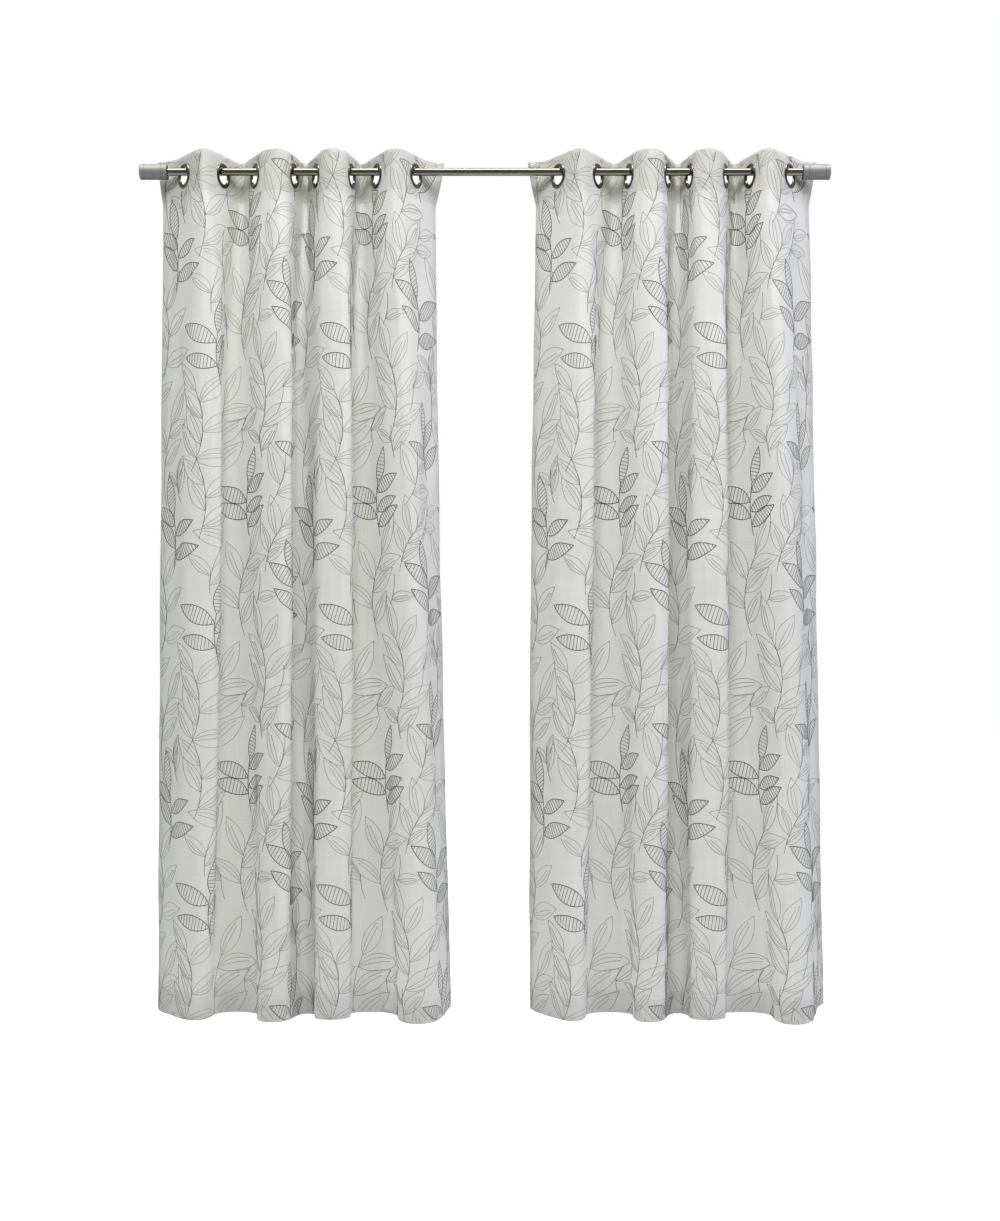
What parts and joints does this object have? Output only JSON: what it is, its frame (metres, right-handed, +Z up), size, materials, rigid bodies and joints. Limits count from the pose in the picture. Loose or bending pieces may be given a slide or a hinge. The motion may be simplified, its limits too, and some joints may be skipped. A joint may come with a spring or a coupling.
{
  "type": "pair of voile eyelet curtains on a curtain rod",
  "caption": "Pale see-through voile curtain panels hanging in soft folds from metal eyelets on a dark round rod with cylinder finials.",
  "frame": {"origin": "on the rod's axis at mid-length", "axes": "+X along the rod, +Y away from the room towards the wall, +Z up"},
  "size_m": [1.7109, 0.1645, 2.1422],
  "materials": {
    "voile": "matt, lightly see-through plain weave with grey leaf line embroidery",
    "dark_nickel": "polished dark nickel",
    "rod_metal": "polished dark pewter",
    "finial_metal": "satin, brushed round"
  },
  "bodies": {
    "root": {"curtain_left": "voile", "curtain_right": "voile", "eyelet_left_1": "dark_nickel", "eyelet_left_2": "dark_nickel", "eyelet_left_3": "dark_nickel", "eyelet_left_4": "dark_nickel", "eyelet_left_5": "dark_nickel", "eyelet_left_6": "dark_nickel", "eyelet_left_7": "dark_nickel", "eyelet_left_8": "dark_nickel", "eyelet_right_1": "dark_nickel", "eyelet_right_2": "dark_nickel", "eyelet_right_3": "dark_nickel", "eyelet_right_4": "dark_nickel", "eyelet_right_5": "dark_nickel", "eyelet_right_6": "dark_nickel", "eyelet_right_7": "dark_nickel", "eyelet_right_8": "dark_nickel", "rod": "rod_metal", "finial_left": "finial_metal", "finial_right": "finial_metal"}
  },
  "joints": []
}
